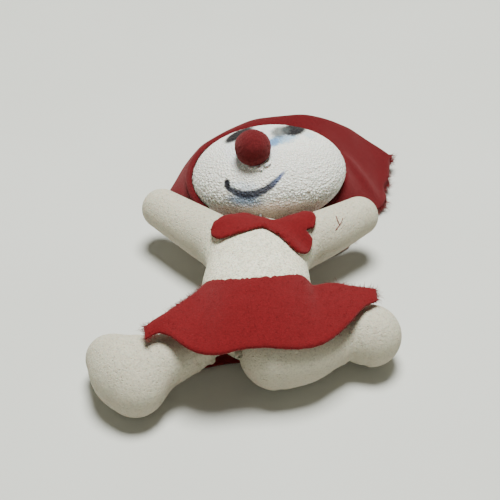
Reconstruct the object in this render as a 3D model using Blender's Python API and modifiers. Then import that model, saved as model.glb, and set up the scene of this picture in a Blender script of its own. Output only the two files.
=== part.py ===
"""Bendable foam figure with a felt hood, bow and skirt, lying on its back. Metres, +Z up.

The head points to +Y and the feet to -Y. The figure's own left is +X. Sizes below are in millimetres
and become metres in mm(). The origin is at the middle of the figure's box, on the surface it lies on.
"""

import math

import bmesh
import bpy
from mathutils import Matrix, Vector

MM = 0.001
GAP = 0.35  # clearance between touching pieces
FRAME_SHIFT = Vector((-2.01, -1.285, 0.0))  # puts the origin under the middle of the box
FOAM_RESOLUTION = 4  # bevel resolution of foam limbs
FAN_RESOLUTION = 2  # bevel resolution of the room cleared for a limb's swing
WIRE_RADIUS = 0.5
CHANNEL_RADIUS = WIRE_RADIUS + GAP
FELT = 1.1  # felt thickness

# Foam forms: stations of x, y, z, radius along each piece's middle line
TORSO = [(3, 11, 13, 6.3), (3, 4, 12.5, 9.3), (2.4, -4, 12, 12.2), (1.8, -13, 11.8, 14.3),
         (1.6, -23, 11.8, 14.4), (1.5, -29, 11.8, 11.5)]
TORSO_FLATNESS = 0.72
TORSO_MIDDLE_Z = 11.8
ARM_RIGHT = [(-8.5, 2.5, 12.5, 7.4), (-15.5, 8.2, 13, 6.8), (-25.3, 16.8, 13.4, 5.8)]
ARM_LEFT = [(14.5, 2.5, 12.5, 7.4), (21.5, 5.8, 13.6, 6.7), (30.8, 11.8, 14.6, 5.6)]
LEG_RIGHT = [(-12.6, -36.8, 11, 5), (-20, -41, 10.5, 7.2), (-30.3, -46.4, 10.9, 10.7)]
LEG_LEFT = [(6.8, -38.2, 10.9, 9.4), (14, -39.2, 10.2, 8), (20.4, -36.2, 9.4, 5.5)]
FOOT_LEFT = [(22.6, -35, 9.2, 5.5), (30.4, -30.8, 9.2, 7.9)]
NECK_PIVOT = Vector(TORSO[0][:3])
NECK_BALL = TORSO[0][3]

HEAD_CENTRE = Vector((5.6, 33.3, 13.9))
HEAD_SEMI = Vector((22.8, 18.8, 12))
HEAD_ROLL = math.radians(-6.5)
NOSE_CENTRE = Vector((0.8, 26.7, 27.9))
NOSE_NORMAL = Vector((-0.18, -0.19, 0.96))
NOSE_RADIUS = 5.2
GLUE_RADIUS = 4.6
GLUE_DEPTH = 2.4

# The hood's fold on the table side, from the left tip round the crown to the right corner, x, y, z
HOOD_FOLD = [(-23.8, 38, 4), (-21, 45, 6), (-17, 50.3, 9), (-11.5, 53, 12), (-1, 56.2, 16), (13, 57.8, 18),
             (23, 58.7, 16.5), (32, 59.2, 12), (38, 57.8, 8.5), (44.7, 54.6, 5)]
HOOD_SIDE = [(43.5, 50), (41, 43), (39.6, 33), (37.6, 26), (32, 20), (24.5, 11), (6, 8), (-12, 14), (-20, 27)]
HOOD_FOOT_INSET = 0.07  # how far the flat back stays inside the fold
HOOD_RIM_RISE = 3.5
HOOD_RIM_SPREAD = 1.02  # the rim over the head's half axes
HOOD_RIM_START = math.radians(172)
HOOD_RIM_END = math.radians(18)

BOW_OUTLINE = [(-11, -4.4), (-10.6, -7.2), (-8.2, -8.6), (-2, -6.6), (3, -5), (8, -9), (12.4, -13.6),
               (15.6, -12.6), (17, -8), (16.6, -4.5), (18.2, -1.4), (18, 2.6), (15.4, 4.3), (10, 2),
               (6, -1), (0, 1), (-7.6, 2.1), (-9.8, -1)]
BOW_BOTTOM = 22.4

SKIRT_WAIST_X = 1.7
SKIRT_WAIST_Y = -14.5
SKIRT_WAIST_WIDE = 15.6  # half widths of the body inside the skirt, with the felt's room
SKIRT_WAIST_DEEP = 11.6
SKIRT_WAIST_SLANT = 10.5
SKIRT_TIP_RIGHT = Vector((-26.3, -38.6, 20.4))
SKIRT_TIP_LEFT = Vector((32.2, -24.6, 18.6))
SKIRT_HEM_DROP = 16.8
SKIRT_HEM_RISE = 3.0
SKIRT_BACK = [(-12.5, -15), (-20, -27), (-26, -36.5), (-16, -35), (-6.8, -32.6), (8, -30.5), (22, -28),
              (31.5, -24.6), (24, -18.5), (17, -15), (2, -14.6)]

HIP_CLOSING_RIGHT = 55  # degrees about +Z
HIP_CLOSING_LEFT = -60
ARM_LOWERING_RIGHT = 60
ARM_LOWERING_LEFT = -60
ARM_RAISING = 8
ANKLE_SWING = 20

WHITE_FOAM = ((0.72, 0.71, 0.66), 0.75, 0.0)
SPARKLE_FOAM = ((0.75, 0.74, 0.70), 0.6, 0.0)
RED_FELT = ((0.32, 0.012, 0.014), 0.95, 0.0)
CLEAR_GLUE = ((0.75, 0.74, 0.70), 0.35, 0.0)
STEEL_WIRE = ((0.45, 0.45, 0.46), 0.4, 1.0)


def mm(vector):
    """A point in millimetres as a Vector in metres."""
    return (Vector(vector) + FRAME_SHIFT) * MM


def clear_scene():
    for item in list(bpy.data.objects):
        bpy.data.objects.remove(item, do_unlink=True)


def collection(name):
    made = bpy.data.collections.new(name)
    bpy.context.scene.collection.children.link(made)
    return made


def give_material(item, look):
    colour, roughness, metallic = look
    material = bpy.data.materials.new(item.name)
    material.use_nodes = True
    shader = material.node_tree.nodes["Principled BSDF"]
    shader.inputs["Base Color"].default_value = (*colour, 1.0)
    shader.inputs["Roughness"].default_value = roughness
    shader.inputs["Metallic"].default_value = metallic
    item.data.materials.append(material)


def add_object(name, mesh, look=None):
    """Link a mesh as a part with its own material, or as a cutter when it has no look."""
    item = bpy.data.objects.new(name, mesh)
    if look:
        PARTS.objects.link(item)
        give_material(item, look)
        mesh.shade_smooth()
    else:
        CUTTERS.objects.link(item)
        item.hide_render = True
        item.display_type = "WIRE"
    return item


def set_origin(item, pivot):
    """Move a part's origin to its joint, without moving the part."""
    item.data.transform(Matrix.Translation(-mm(pivot)))
    item.location = mm(pivot)


def cut(item, cutter):
    modifier = item.modifiers.new("cut by " + cutter.name, "BOOLEAN")
    modifier.operation = "DIFFERENCE"
    modifier.object = cutter


def join(item, other):
    modifier = item.modifiers.new("join " + other.name, "BOOLEAN")
    modifier.operation = "UNION"
    modifier.object = other


def catmull(a, b, c, d, t):
    """A point between b and c on the smooth curve through four values."""
    return 0.5 * (2 * b + (c - a) * t + (2 * a - 5 * b + 4 * c - d) * t * t + (3 * b - a - 3 * c + d) * t ** 3)


def smooth_line(stations, steps):
    """Points on the smooth curve through the stations, as Vectors of any length."""
    rows = [Vector(row) for row in stations]
    rows = [rows[0] * 2 - rows[1]] + rows + [rows[-1] * 2 - rows[-2]]
    points = []
    for i in range(1, len(rows) - 2):
        for k in range(steps):
            points.append(catmull(rows[i - 1], rows[i], rows[i + 1], rows[i + 2], k / steps))
    return points + [rows[-2]]


def mesh_from_curve(curve):
    """The curve's evaluated surface as one welded mesh; the curve is removed."""
    item = bpy.data.objects.new(curve.name, curve)
    bpy.context.scene.collection.objects.link(item)
    graph = bpy.context.evaluated_depsgraph_get()
    mesh = bpy.data.meshes.new_from_object(item.evaluated_get(graph))
    mesh.transform(item.matrix_world)
    work = bmesh.new()
    work.from_mesh(mesh)
    bmesh.ops.remove_doubles(work, verts=work.verts, dist=1e-6)
    bmesh.ops.recalc_face_normals(work, faces=work.faces)
    work.to_mesh(mesh)
    work.free()
    bpy.data.objects.remove(item, do_unlink=True)
    return mesh


def tube_mesh(name, rows, resolution):
    """A tube along rows of x, y, z, radius in millimetres, with filled ends."""
    curve = bpy.data.curves.new(name, "CURVE")
    curve.dimensions = "3D"
    curve.twist_mode = "Z_UP"
    curve.bevel_depth = 1.0
    curve.bevel_resolution = resolution
    curve.use_fill_caps = True
    spline = curve.splines.new("POLY")
    spline.points.add(len(rows) - 1)
    for point, row in zip(spline.points, rows):
        point.co = (*mm(row[:3]), 1.0)
        point.radius = row[3] * MM
    return mesh_from_curve(curve)


def foam_rows(stations, grow=0.0):
    """Rings along a foam form, closed by a round cap at each end."""
    rows = smooth_line(stations, 3)
    for row in rows:
        row[3] += grow
    caps = []
    for end, inner in ((rows[0], rows[1]), (rows[-1], rows[-2])):
        outward = (end.xyz - inner.xyz).normalized()
        cap = []
        for angle in (30, 58, 80):
            turn = math.radians(angle)
            place = end.xyz + outward * end[3] * math.sin(turn)
            cap.append(Vector((*place, end[3] * math.cos(turn))))
        caps.append(cap)
    return caps[0][::-1] + rows + caps[1]


def foam_mesh(name, stations, grow=0.0, resolution=FOAM_RESOLUTION):
    return tube_mesh(name, foam_rows(stations, grow), resolution)


def ball_mesh(name, centre, semi, turn=None, segments=24, rings=14):
    """An ellipsoid with half axes in millimetres, turned about its centre."""
    work = bmesh.new()
    bmesh.ops.create_uvsphere(work, u_segments=segments, v_segments=rings, radius=MM)
    bmesh.ops.scale(work, vec=Vector(semi), verts=work.verts)
    mesh = bpy.data.meshes.new(name)
    work.to_mesh(mesh)
    work.free()
    mesh.transform(Matrix.Translation(mm(centre)) @ (turn or Matrix.Identity(4)))
    return mesh


def plate_mesh(name, outline, bottom, thickness, steps=4):
    """A flat piece of felt with a smooth closed outline."""
    count = len(outline)
    points = []
    for i in range(count):
        a, b, c, d = (Vector(outline[(i + k) % count]) for k in (-1, 0, 1, 2))
        points += [catmull(a, b, c, d, k / steps) for k in range(steps)]
    curve = bpy.data.curves.new(name, "CURVE")
    curve.dimensions = "2D"
    curve.fill_mode = "BOTH"
    curve.extrude = thickness / 2 * MM
    spline = curve.splines.new("POLY")
    spline.points.add(len(points) - 1)
    spline.use_cyclic_u = True
    for point, place in zip(spline.points, points):
        point.co = (*mm((*place, 0)).xy, 0.0, 1.0)
    mesh = mesh_from_curve(curve)
    mesh.transform(Matrix.Translation((0, 0, (bottom + thickness / 2) * MM)))
    return mesh


def sheet_object(name, place, across, along, look, thickness=FELT):
    """A felt sheet whose points are place(s, t) in millimetres, thickened by Solidify."""
    work = bmesh.new()
    bmesh.ops.create_grid(work, x_segments=across, y_segments=along, size=1.0)
    for vert in work.verts:
        vert.co = mm(place(vert.co.x, (vert.co.y + 1) / 2))
    mesh = bpy.data.meshes.new(name)
    work.to_mesh(mesh)
    work.free()
    item = add_object(name, mesh, look)
    solid = item.modifiers.new("felt", "SOLIDIFY")
    solid.thickness = thickness * MM
    solid.offset = 0.0
    return item


def turned(stations, pivot, degrees):
    """The same stations turned about the vertical line through a pivot."""
    turn = Matrix.Rotation(math.radians(degrees), 3, "Z")
    centre = Vector(pivot)
    rows = []
    for row in stations:
        rows.append((*(centre + turn @ (Vector(row[:3]) - centre)), row[3]))
    return rows


def cut_swing(item, name, stations, low, high, steps=5):
    """Clear the room that a limb sweeps between two angles about its root: a convex fan."""
    fan = bmesh.new()
    for i in range(steps):
        angle = low + (high - low) * i / (steps - 1)
        rows = turned(stations, stations[0][:3], angle)
        mesh = foam_mesh(name + "_swing", rows, GAP + 0.1, FAN_RESOLUTION)
        for vert in mesh.vertices:
            fan.verts.new(vert.co)
        bpy.data.meshes.remove(mesh)
    hull = bmesh.ops.convex_hull(fan, input=fan.verts)
    inside = [part for part in hull["geom_interior"] if isinstance(part, bmesh.types.BMVert)]
    bmesh.ops.delete(fan, geom=inside, context="VERTS")
    bmesh.ops.recalc_face_normals(fan, faces=fan.faces)
    mesh = bpy.data.meshes.new(name + "_swing")
    fan.to_mesh(mesh)
    fan.free()
    cut(item, add_object(name + "_swing", mesh))


def make_limb(name, stations, wire_name, short=1):
    """A foam limb with a wire in a channel that opens at its root; the wire stops short of the tip."""
    limb = add_object(name, foam_mesh(name, stations), WHITE_FOAM)
    line = [Vector(row[:3]) for row in smooth_line(stations, 4)]
    inward = (line[0] - line[1]).normalized()
    start = line[0] + inward * (stations[0][3] + 1)
    channel = [(*point, CHANNEL_RADIUS) for point in [start] + line]
    cut(limb, add_object(name + "_channel", tube_mesh(name + "_channel", channel, 2)))
    wire = [(*point, WIRE_RADIUS) for point in [line[0] + inward * (stations[0][3] - 1)] + line[:-short]]
    wire_item = add_object(wire_name, tube_mesh(wire_name, wire, 1), STEEL_WIRE)
    for part in (limb, wire_item):
        set_origin(part, stations[0][:3])
    return limb


def make_torso():
    """The body: a flattened foam form with sockets for the limbs and channels for the wires."""
    mesh = foam_mesh("torso", TORSO)
    middle = TORSO_MIDDLE_Z * MM
    for vert in mesh.vertices:
        vert.co.z = middle + (vert.co.z - middle) * TORSO_FLATNESS
    torso = add_object("torso", mesh, WHITE_FOAM)
    cut_swing(torso, "arm_right", ARM_RIGHT, -ARM_RAISING, ARM_LOWERING_RIGHT)
    cut_swing(torso, "arm_left", ARM_LEFT, ARM_LOWERING_LEFT, ARM_RAISING)
    cut_swing(torso, "leg_right", LEG_RIGHT, 0, HIP_CLOSING_RIGHT)
    cut_swing(torso, "leg_left", LEG_LEFT, HIP_CLOSING_LEFT, 0)
    return torso


def make_armature(torso):
    """A spine wire with a crossbar at the shoulders and one at the hips, one above the other."""
    x = TORSO[0][0]
    bars = {
        "spine_wire": [(x, 23, 13), (x, 11, 13), (x - 0.5, -10, 12), (x - 1, -28, 12)],
        "shoulder_wire": [(-0.2, 3, 11.2), (6.2, 3, 11.2)],
        "hip_wire": [(-6.5, -27, 10.6), (7.5, -27, 10.6)],
    }
    for name, points in bars.items():
        ends = [Vector(point) for point in points]
        tip = (ends[0] - ends[1]).normalized() * 1.2
        tail = (ends[-1] - ends[-2]).normalized() * 1.2
        longer = [ends[0] + tip] + ends[1:-1] + [ends[-1] + tail]
        channel = [(*point, CHANNEL_RADIUS) for point in longer]
        cut(torso, add_object(name + "_channel", tube_mesh(name + "_channel", channel, 2)))
        wire = [(*point, WIRE_RADIUS) for point in ends]
        add_object(name, tube_mesh(name, wire, 1), STEEL_WIRE)


def make_head():
    """The flattened head ball, its nose and the dab of glue that holds the nose."""
    roll = Matrix.Rotation(HEAD_ROLL, 4, "Y")
    head = add_object("head_ball", ball_mesh("head_ball", HEAD_CENTRE, HEAD_SEMI, roll, 28, 16), SPARKLE_FOAM)
    socket = Vector((NECK_BALL + GAP,) * 3)
    cut(head, add_object("neck_socket", ball_mesh("neck_socket", NECK_PIVOT, socket)))
    spine_room = [(*NECK_PIVOT, 2.4), (NECK_PIVOT.x, 24, NECK_PIVOT.z, 2.4)]
    cut(head, add_object("neck_wire_room", tube_mesh("neck_wire_room", spine_room, 2)))

    nose = add_object("nose_ball", ball_mesh("nose_ball", NOSE_CENTRE, (NOSE_RADIUS,) * 3, None, 20, 12), RED_FELT)
    aim = NOSE_NORMAL.to_track_quat("Z", "Y").to_matrix().to_4x4()
    depth = -(NOSE_RADIUS - 0.9)
    for name, grow in (("nose_glue", 0.0), ("nose_recess", GAP)):
        work = bmesh.new()
        bmesh.ops.create_cone(work, cap_ends=True, segments=20, radius1=(GLUE_RADIUS + grow) * MM,
                              radius2=(GLUE_RADIUS + grow) * MM, depth=(GLUE_DEPTH + 2 * grow) * MM)
        mesh = bpy.data.meshes.new(name)
        work.to_mesh(mesh)
        work.free()
        mesh.transform(Matrix.Translation(mm(NOSE_CENTRE)) @ aim @ Matrix.Translation((0, 0, depth * MM)))
        piece = add_object(name, mesh, CLEAR_GLUE if name == "nose_glue" else None)
        if name == "nose_recess":
            cut(head, piece)
        else:
            room = (NOSE_RADIUS + GAP,) * 3
            cut(piece, add_object("nose_room", ball_mesh("nose_room", NOSE_CENTRE, room, None, 20, 12)))
            set_origin(piece, NECK_PIVOT)
    cut(head, bpy.data.objects["nose_room"])
    for part in (head, nose):
        set_origin(part, NECK_PIVOT)


def make_hood():
    """The hood: one folded felt, flat under the head, coming up over the crown to the face."""
    fold = [Vector(row) for row in HOOD_FOLD]
    middle = HEAD_CENTRE.xy
    outline = [row.xy.lerp(middle, HOOD_FOOT_INSET) for row in fold] + [Vector(row) for row in HOOD_SIDE]
    hood = add_object("hood", plate_mesh("hood", outline, 0.0, FELT), RED_FELT)
    line = smooth_line(HOOD_FOLD, 4)
    turn = Matrix.Rotation(HEAD_ROLL, 3, "Y")

    def place(s, t):
        at = (s + 1) / 2 * (len(line) - 1)
        low = min(int(at), len(line) - 2)
        outer = line[low].lerp(line[low + 1], at - low)
        angle = HOOD_RIM_START + (HOOD_RIM_END - HOOD_RIM_START) * (s + 1) / 2
        rim = Vector((math.cos(angle) * HEAD_SEMI.x, math.sin(angle) * HEAD_SEMI.y, 0.0)) * HOOD_RIM_SPREAD
        rim.z = HOOD_RIM_RISE
        rim = HEAD_CENTRE + turn @ rim
        if t > 0.5:
            return outer.lerp(rim, (t - 0.5) * 2)
        foot = Vector((*outer.xy.lerp(middle, HOOD_FOOT_INSET + 0.02), FELT / 2))
        return foot.lerp(outer, t * 2)

    wall = sheet_object("hood_wall", place, 24, 4, None)
    join(hood, wall)
    room = HEAD_SEMI + Vector((GAP,) * 3)
    head_room = ball_mesh("head_room", HEAD_CENTRE, room, Matrix.Rotation(HEAD_ROLL, 4, "Y"), 28, 16)
    cut(hood, add_object("head_room", head_room))
    set_origin(hood, NECK_PIVOT)


def make_bow():
    add_object("bow_tie", plate_mesh("bow_tie", BOW_OUTLINE, BOW_BOTTOM, FELT, 3), RED_FELT)


def make_skirt():
    """A front panel draped over the belly and thighs, and a back panel flat underneath."""

    def place(s, t):
        turn = math.radians(82) * s
        waist = Vector((SKIRT_WAIST_X + SKIRT_WAIST_WIDE * math.sin(turn),
                        SKIRT_WAIST_Y - SKIRT_WAIST_SLANT * math.cos(turn),
                        TORSO_MIDDLE_Z + SKIRT_WAIST_DEEP * math.cos(turn)))
        hem = SKIRT_TIP_RIGHT.lerp(SKIRT_TIP_LEFT, (s + 1) / 2)
        belly = 1 - abs(s) ** 2.8
        hem += Vector((0, -SKIRT_HEM_DROP * belly, SKIRT_HEM_RISE * belly))
        point = waist.lerp(hem, t)
        point.z += 1.6 * math.sin(math.pi * t) * (1 - s * s)
        return point

    sheet_object("skirt_front", place, 20, 6, RED_FELT)
    add_object("skirt_back", plate_mesh("skirt_back", SKIRT_BACK, 0.0, FELT, 3), RED_FELT)


def make_foot(leg):
    """The left foot turns at the thin ankle, on a ball end of its own."""
    make_limb("foot_left", FOOT_LEFT, "foot_wire_left")
    cut_swing(leg, "foot_left", FOOT_LEFT, -ANKLE_SWING, ANKLE_SWING, 3)


clear_scene()
PARTS = collection("bendable_figure")
CUTTERS = collection("cutters")
body = make_torso()
make_armature(body)
make_head()
make_hood()
make_bow()
make_skirt()
make_limb("arm_right", ARM_RIGHT, "arm_wire_right")
make_limb("arm_left", ARM_LEFT, "arm_wire_left")
make_limb("leg_right", LEG_RIGHT, "leg_wire_right")
make_foot(make_limb("leg_left", LEG_LEFT, "leg_wire_left", 4))
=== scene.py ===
import math

import bmesh
import bpy
import numpy as np
from mathutils import Matrix, Vector, noise

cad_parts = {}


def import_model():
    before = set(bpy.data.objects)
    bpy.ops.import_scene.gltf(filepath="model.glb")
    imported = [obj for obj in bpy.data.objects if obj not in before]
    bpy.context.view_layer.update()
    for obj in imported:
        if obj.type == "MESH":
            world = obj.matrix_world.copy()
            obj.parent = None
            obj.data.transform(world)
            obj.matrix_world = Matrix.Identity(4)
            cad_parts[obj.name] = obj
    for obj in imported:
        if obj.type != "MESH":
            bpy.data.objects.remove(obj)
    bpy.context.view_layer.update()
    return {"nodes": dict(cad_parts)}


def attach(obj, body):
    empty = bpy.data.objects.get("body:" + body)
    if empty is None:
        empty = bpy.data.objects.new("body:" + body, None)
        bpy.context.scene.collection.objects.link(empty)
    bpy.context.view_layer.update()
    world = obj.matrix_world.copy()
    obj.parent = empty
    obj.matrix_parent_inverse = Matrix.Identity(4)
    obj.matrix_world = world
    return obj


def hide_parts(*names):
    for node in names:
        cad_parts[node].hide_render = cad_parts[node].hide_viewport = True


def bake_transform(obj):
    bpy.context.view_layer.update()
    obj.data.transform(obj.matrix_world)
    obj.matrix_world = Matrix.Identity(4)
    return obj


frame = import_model()

# Lengths below are millimetres in the figure's working frame; world() turns them into the row frame.
MM = 0.001
SHIFT = np.array((-2.01, -1.285, 0.0))
FELT = 1.1  # thickness of the felt
FLAT_Z = 0.57  # the middle of a felt that lies on the table
LYING_GAP = 0.3  # clearance between a felt and what it lies on
LOWEST_FIBRE = 0.06
CHANCE = np.random.default_rng(41)

# x, y, z and radius along each foam form
TORSO = [(3, 9, 9.2, 4.6), (3, 3.2, 11.9, 8.6), (2.4, -4, 12, 12.2), (1.8, -13, 11.8, 14.3),
         (1.6, -23, 11.8, 14.4), (1.5, -29, 11.8, 11.5)]
TORSO_FLATNESS = 0.72
TORSO_MIDDLE_Z = 11.8
ARM_RIGHT = [(-8.5, 2.5, 12.5, 7.4), (-15.5, 8.2, 13, 6.8), (-25.3, 16.8, 13.4, 5.8)]
ARM_LEFT = [(14.5, 2.5, 12.5, 7.4), (21.5, 5.8, 13.6, 6.7), (30.8, 11.8, 14.6, 5.6)]
LEG_RIGHT = [(-12.6, -36.8, 11, 5.0), (-19.8, -40.4, 10.5, 6.4), (-29.4, -43.3, 9.3, 8.8)]
FOOT_RIGHT = [(-35.3, -37.9, 8.0, 6.2), (-31.5, -44.4, 8.6, 7.2), (-27.9, -48.2, 8.0, 7.0)]
LEG_LEFT = [(6.8, -38.4, 10.8, 9.6), (13.6, -38.4, 10.4, 7.5), (20.2, -35.2, 9.8, 5.5)]
FOOT_LEFT = [(22.4, -33.5, 9.6, 5.4), (25.2, -31.4, 9.7, 5.7), (30.8, -30.9, 9.2, 8.1)]
ARM_FILLET = 5.0
SKIRT_FILLET = 4.0  # between the forms that the skirt lies on
FOOT_RIGHT_FILLET = 4.0
ANKLE_FILLET = 2.5
ANKLE = np.array((22.6, -35, 9.2))
ANKLE_WAY = np.array((0.88, 0.474, 0.0))
SEAM_RIGHT = np.array((-9.8, 2.8, 12.5))
SEAM_RIGHT_WAY = np.array((-0.932, 0.362, 0.0))
SEAM_LEFT = np.array((14.3, 2.4, 12.5))
SEAM_LEFT_WAY = np.array((0.954, 0.3, 0.0))
HIP_SWING_RIGHT = 55
HIP_SWING_LEFT = -60
LEG_ROOM = 0.5  # cut from the body round the legs as they swing
LEG_ROOM_FILLET = 0.8

HEAD_CENTRE = np.array((5.6, 33.3, 13.9))
HEAD_SEMI = np.array((22.9, 18.9, 12.0))
HEAD_ROLL = Matrix.Rotation(math.radians(-3.0), 3, "Z") @ Matrix.Rotation(math.radians(-6.5), 3, "Y")
NOSE_CENTRE = np.array((0.8, 26.7, 27.9))
NOSE_NORMAL = np.array((-0.18, -0.19, 0.96))
NOSE_AWAY = NOSE_NORMAL / np.linalg.norm(NOSE_NORMAL)
NOSE_RADIUS = 5.2

CAMERA_LIFT = math.radians(40)
CAMERA_ANGLE = math.radians(26)
CAMERA_DISTANCE = 0.3
FACE_UP_Y, FACE_UP_Z = 0.643, 0.766  # the face's upward direction, from the head's own y and z


# ---------- shapes ----------

def world(points):
    return (np.asarray(points, float) + SHIFT) * MM


def smooth_rows(stations, steps):
    """Rows on the smooth curve through the stations."""
    rows = np.array(stations, float)
    rows = np.vstack([2 * rows[0] - rows[1], rows, 2 * rows[-1] - rows[-2]])
    out = []
    for i in range(1, len(rows) - 2):
        a, b, c, d = rows[i - 1:i + 3]
        for t in np.arange(steps) / steps:
            out.append(0.5 * (2 * b + (c - a) * t + (2 * a - 5 * b + 4 * c - d) * t ** 2
                              + (3 * b - a - 3 * c + d) * t ** 3))
    return np.array(out + [rows[-2]])


def chain_distance(points, rows):
    """Signed distance to a run of balls joined by cones."""
    nearest = np.full(len(points), 1e9)
    for a, b in zip(rows[:-1], rows[1:]):
        line = b[:3] - a[:3]
        t = np.clip((points - a[:3]) @ line / (line @ line), 0, 1)
        away = np.linalg.norm(points - a[:3] - t[:, None] * line, axis=1)
        nearest = np.minimum(nearest, away - a[3] - t * (b[3] - a[3]))
    return nearest


def melt(a, b, reach):
    """The smaller of two distances, with a fillet of that reach."""
    near = np.maximum(reach - np.abs(a - b), 0) / reach
    return np.minimum(a, b) - near * near * reach / 4


def turned(rows, pivot, degrees):
    """Rows swung about an upright axis through the pivot."""
    angle = math.radians(degrees)
    turn = np.array([[math.cos(angle), -math.sin(angle)], [math.sin(angle), math.cos(angle)]])
    out = rows.copy()
    out[:, :2] = (rows[:, :2] - pivot[:2]) @ turn.T + pivot[:2]
    return out


TORSO_ROWS = smooth_rows(TORSO, 5)
ARM_ROWS = [smooth_rows(ARM_RIGHT, 5), smooth_rows(ARM_LEFT, 5)]
LEG_RIGHT_ROWS = smooth_rows(LEG_RIGHT, 5)
FOOT_RIGHT_ROWS = smooth_rows(FOOT_RIGHT, 4)
LEG_LEFT_ROWS = smooth_rows(LEG_LEFT, 5)
FOOT_ROWS = smooth_rows(FOOT_LEFT, 5)
LEG_SWINGS = [turned(LEG_RIGHT_ROWS, LEG_RIGHT_ROWS[0], a) for a in np.linspace(0, HIP_SWING_RIGHT, 5)]
LEG_SWINGS += [turned(LEG_LEFT_ROWS, LEG_LEFT_ROWS[0], a) for a in np.linspace(0, HIP_SWING_LEFT, 5)]


def torso_field(points):
    """The trunk, flattened front to back."""
    flat = points.copy()
    flat[:, 2] = TORSO_MIDDLE_Z + (flat[:, 2] - TORSO_MIDDLE_Z) / TORSO_FLATNESS
    return chain_distance(flat, TORSO_ROWS)


def body_field(points):
    """The body with its arms, and room cut for the legs."""
    field = torso_field(points)
    for rows in ARM_ROWS:
        field = melt(field, chain_distance(points, rows), ARM_FILLET)
    for rows in LEG_SWINGS:
        field = -melt(-field, chain_distance(points, rows) - LEG_ROOM, LEG_ROOM_FILLET)
    return field


def leg_right_field(points):
    foot = chain_distance(points, FOOT_RIGHT_ROWS)
    return melt(chain_distance(points, LEG_RIGHT_ROWS), foot, FOOT_RIGHT_FILLET)


def leg_left_field(points):
    return melt(chain_distance(points, LEG_LEFT_ROWS), chain_distance(points, FOOT_ROWS), ANKLE_FILLET)


def in_head(points):
    """Points in the head's own directions, from its centre."""
    return (points - HEAD_CENTRE) @ np.array(HEAD_ROLL)


def out_of_head(points):
    return points @ np.array(HEAD_ROLL).T + HEAD_CENTRE


def head_field(points):
    return (np.linalg.norm(in_head(points) / HEAD_SEMI, axis=1) - 1) * HEAD_SEMI[2]


def all_foam(points):
    """The foam that the skirt lies on."""
    field = torso_field(points)
    for rows in ARM_ROWS + [LEG_RIGHT_ROWS]:
        field = melt(field, chain_distance(points, rows), SKIRT_FILLET)
    return np.minimum(field, leg_left_field(points))


def slope_of(points, field, nudge=0.02):
    """The field's gradient at each point."""
    steps = np.eye(3) * nudge
    return np.stack([(field(points + s) - field(points - s)) / (2 * nudge) for s in steps], axis=1)


def settle(points, field, rounds=3):
    """Moves points onto the field's zero surface."""
    for _ in range(rounds):
        slope = slope_of(points, field)
        steep = np.maximum((slope ** 2).sum(1), 0.1)
        move = -(field(points) / steep)[:, None] * slope
        size = np.linalg.norm(move, axis=1, keepdims=True)
        points = points + move * np.minimum(1, 1.5 / np.maximum(size, 1e-9))
    return points


def relax(points, edges, rounds, amount=0.5, held=None):
    """Evens out a mesh by moving each point towards its neighbours' middle."""
    count = np.bincount(edges.ravel(), minlength=len(points))[:, None]
    for _ in range(rounds):
        total = np.zeros_like(points)
        np.add.at(total, edges[:, 0], points[edges[:, 1]])
        np.add.at(total, edges[:, 1], points[edges[:, 0]])
        moved = points + amount * (total / np.maximum(count, 1) - points)
        points = moved if held is None else np.where(held[:, None], points, moved)
    return points


def clear_of(points, field, room, rounds=4):
    """Moves points that are too near or inside a form out to its surface plus room."""
    for _ in range(rounds):
        value = field(points)
        slope = slope_of(points, field)
        steep = np.maximum((slope ** 2).sum(1), 0.1)
        points = points + (np.maximum(room - value, 0) / steep)[:, None] * slope
    return points


def normals_of(points, faces):
    """Smooth normals of a mesh of triangles or quads."""
    total = np.zeros_like(points)
    table = np.array([(*f, f[-1]) if len(f) == 3 else f for f in faces])
    across = points[table[:, 2]] - points[table[:, 0]]
    down = points[table[:, 3]] - points[table[:, 1]]
    face_normals = np.cross(across, down)
    for k in range(4):
        np.add.at(total, table[:, k], face_normals)
    return total / np.maximum(np.linalg.norm(total, axis=1, keepdims=True), 1e-9)


def edges_of(faces):
    pairs = {tuple(sorted((f[k], f[(k + 1) % len(f)]))) for f in faces for k in range(len(f))}
    return np.array(sorted(pairs))


def waves(points, size, seed=0.0):
    """Smooth noise from -1 to 1 whose bumps are about size across."""
    return np.array([noise.noise(Vector((x / size + seed, y / size, z / size - seed))) for x, y, z in points])


# ---------- objects ----------

def mesh_object(name, points, faces, material):
    mesh = bpy.data.meshes.new(name)
    mesh.from_pydata(world(points).tolist(), [], [tuple(int(i) for i in f) for f in faces])
    mesh.update()
    mesh.polygons.foreach_set("use_smooth", np.ones(len(mesh.polygons), bool))
    item = bpy.data.objects.new(name, mesh)
    bpy.context.scene.collection.objects.link(item)
    if material:
        mesh.materials.append(material)
    return item


def mesh_arrays(mesh):
    points = np.zeros(len(mesh.vertices) * 3)
    mesh.vertices.foreach_get("co", points)
    faces = [tuple(p.vertices) for p in mesh.polygons]
    return points.reshape(-1, 3) / MM - SHIFT, faces


def voxel_skin(points, faces, size):
    """One closed skin round shells that pass through each other."""
    item = mesh_object("voxel_skin", points, faces, None)
    modifier = item.modifiers.new("skin", "REMESH")
    modifier.mode = "VOXEL"
    modifier.voxel_size = size * MM
    graph = bpy.context.evaluated_depsgraph_get()
    mesh = bpy.data.meshes.new_from_object(item.evaluated_get(graph))
    result = mesh_arrays(mesh)
    bpy.data.objects.remove(item)
    return result


def ball(detail):
    """A unit ball of near-equal triangles."""
    work = bmesh.new()
    bmesh.ops.create_icosphere(work, subdivisions=detail, radius=1.0)
    points = np.array([v.co for v in work.verts])
    faces = [tuple(v.index for v in f.verts) for f in work.faces]
    work.free()
    return points, faces


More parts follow.
